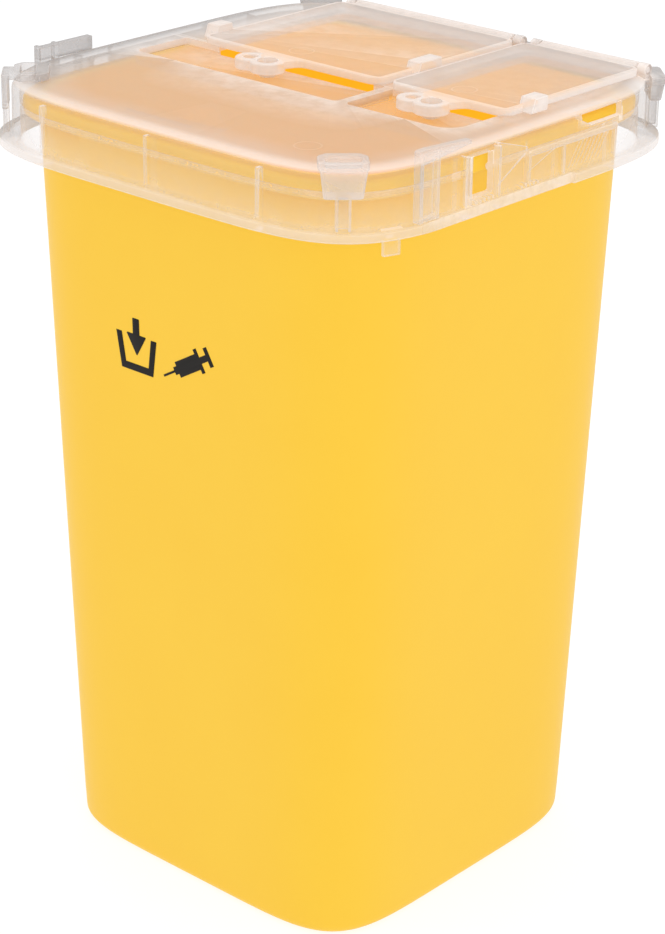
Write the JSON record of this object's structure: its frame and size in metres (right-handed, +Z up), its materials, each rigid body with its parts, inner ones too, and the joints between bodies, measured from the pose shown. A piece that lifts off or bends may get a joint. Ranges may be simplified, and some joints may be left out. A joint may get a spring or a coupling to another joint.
{
  "type": "sharps waste bin",
  "caption": "Tapered square bin for used blades and needles, with a clear press-on lid, hinged flaps, corner clips and side rails.",
  "frame": {"origin": "centre of the footprint, on the surface that the bin stands on", "axes": "+Z up out of the mouth of the tub, -Y towards the front face that carries the printed mark, +X towards the side beside the small flap"},
  "size_m": [0.1048, 0.105, 0.1674],
  "materials": {
    "tub_plastic": "opaque yellow moulded polypropylene, soft satin with a very fine grain",
    "lid_plastic": "unpigmented moulded polypropylene, milky and see-through, satin gloss",
    "flap_plastic": "unpigmented moulded polypropylene, milky and see-through, satin gloss",
    "fitting_plastic": "unpigmented moulded polypropylene, milky, brighter where the walls are thick"
  },
  "bodies": {
    "bin": {"bin_body": "tub_plastic", "lid_frame": "lid_plastic", "large_flap_latch_peg": "fitting_plastic", "small_flap_latch_peg": "fitting_plastic", "corner_clip_front_right": "fitting_plastic", "corner_clip_front_left": "fitting_plastic", "corner_clip_back_right": "fitting_plastic", "corner_clip_back_left": "fitting_plastic", "side_rail_right": "fitting_plastic", "side_rail_left": "fitting_plastic"},
    "large_flap": {"large_flap": "flap_plastic"},
    "small_flap": {"small_flap": "flap_plastic"}
  },
  "joints": [
    {"name": "large_flap_hinge", "type": "hinge", "parent": "bin", "child": "large_flap", "pos_m": [-0.0109, 0.0443, 0.1649], "axis": [-1, 0, 0], "range_deg": [0, 115]},
    {"name": "small_flap_hinge", "type": "hinge", "parent": "bin", "child": "small_flap", "pos_m": [0.0294, 0.0443, 0.1649], "axis": [-1, 0, 0], "range_deg": [0, 115]}
  ]
}
